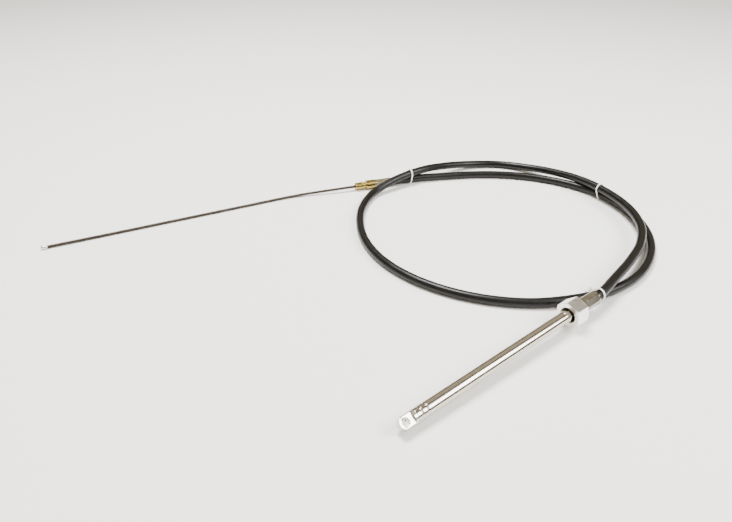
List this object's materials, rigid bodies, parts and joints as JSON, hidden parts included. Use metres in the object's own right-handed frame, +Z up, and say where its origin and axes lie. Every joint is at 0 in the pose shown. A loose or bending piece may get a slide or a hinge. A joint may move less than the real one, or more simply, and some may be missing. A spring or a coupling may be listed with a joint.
{
  "type": "boat steering cable",
  "caption": "Mechanical boat steering cable: a looped jacketed conduit with a sliding stainless ram and a swivel nut at one end, and a helical drive core out of its helm fitting.",
  "frame": {"origin": "On the floor under the middle of the box round the rigid ends: the ram, rod end, support tube, nut, hub, helm fitting and ferrule", "axes": "+X runs to the right in the picture, +Y away from the viewer along the box's longest side, and +Z up from the floor that the cable lies on"},
  "size_m": [0.9601, 0.689, 0.0383],
  "materials": {
    "stainless_steel": "ground and polished stainless steel",
    "bright_plated_steel": "bright nickel plate",
    "crimped_steel": "stainless steel pressed by a hexagonal die",
    "yellow_zinc_steel": "yellow passivated zinc plate on turned steel",
    "plated_ferrule_steel": "zinc plate, pressed by a hexagonal die",
    "black_jacket": "extruded black jacket with a soft sheen",
    "oiled_core_wire": "helically wound wire under grease",
    "white_nylon": "moulded natural nylon"
  },
  "bodies": {
    "cable": {"conduit": "black_jacket", "hub": "crimped_steel", "support_tube": "stainless_steel", "helm_fitting": "yellow_zinc_steel", "helm_ferrule": "plated_ferrule_steel", "drive_core": "oiled_core_wire", "cable_tie_1": "white_nylon", "cable_tie_2": "white_nylon", "cable_tie_3": "white_nylon"},
    "ram": {"ram_tube": "stainless_steel", "rod_end": "stainless_steel"},
    "nut": {"swivel_nut": "bright_plated_steel"},
    "core_end": {"core_end_sleeve": "bright_plated_steel"}
  },
  "joints": [
    {"name": "ram_slide", "type": "slide", "parent": "cable", "child": "ram", "axis": [-0.7824, -0.6223, -0.0232], "range_m": [0, 0.2286]},
    {"name": "nut_spin", "type": "hinge", "parent": "cable", "child": "nut", "pos_m": [0.11203, -0.12334, 0.01984], "axis": [-0.7824, -0.6223, -0.0232], "continuous": true},
    {"name": "core_slide", "type": "slide", "parent": "cable", "child": "core_end", "axis": [0.8996, 0.4368, 0], "range_m": [0, 0.2286], "deforming": ["drive_core"]}
  ],
  "couplings": [
    {"joint": "core_slide", "follows": "ram_slide", "ratio": 1}
  ]
}
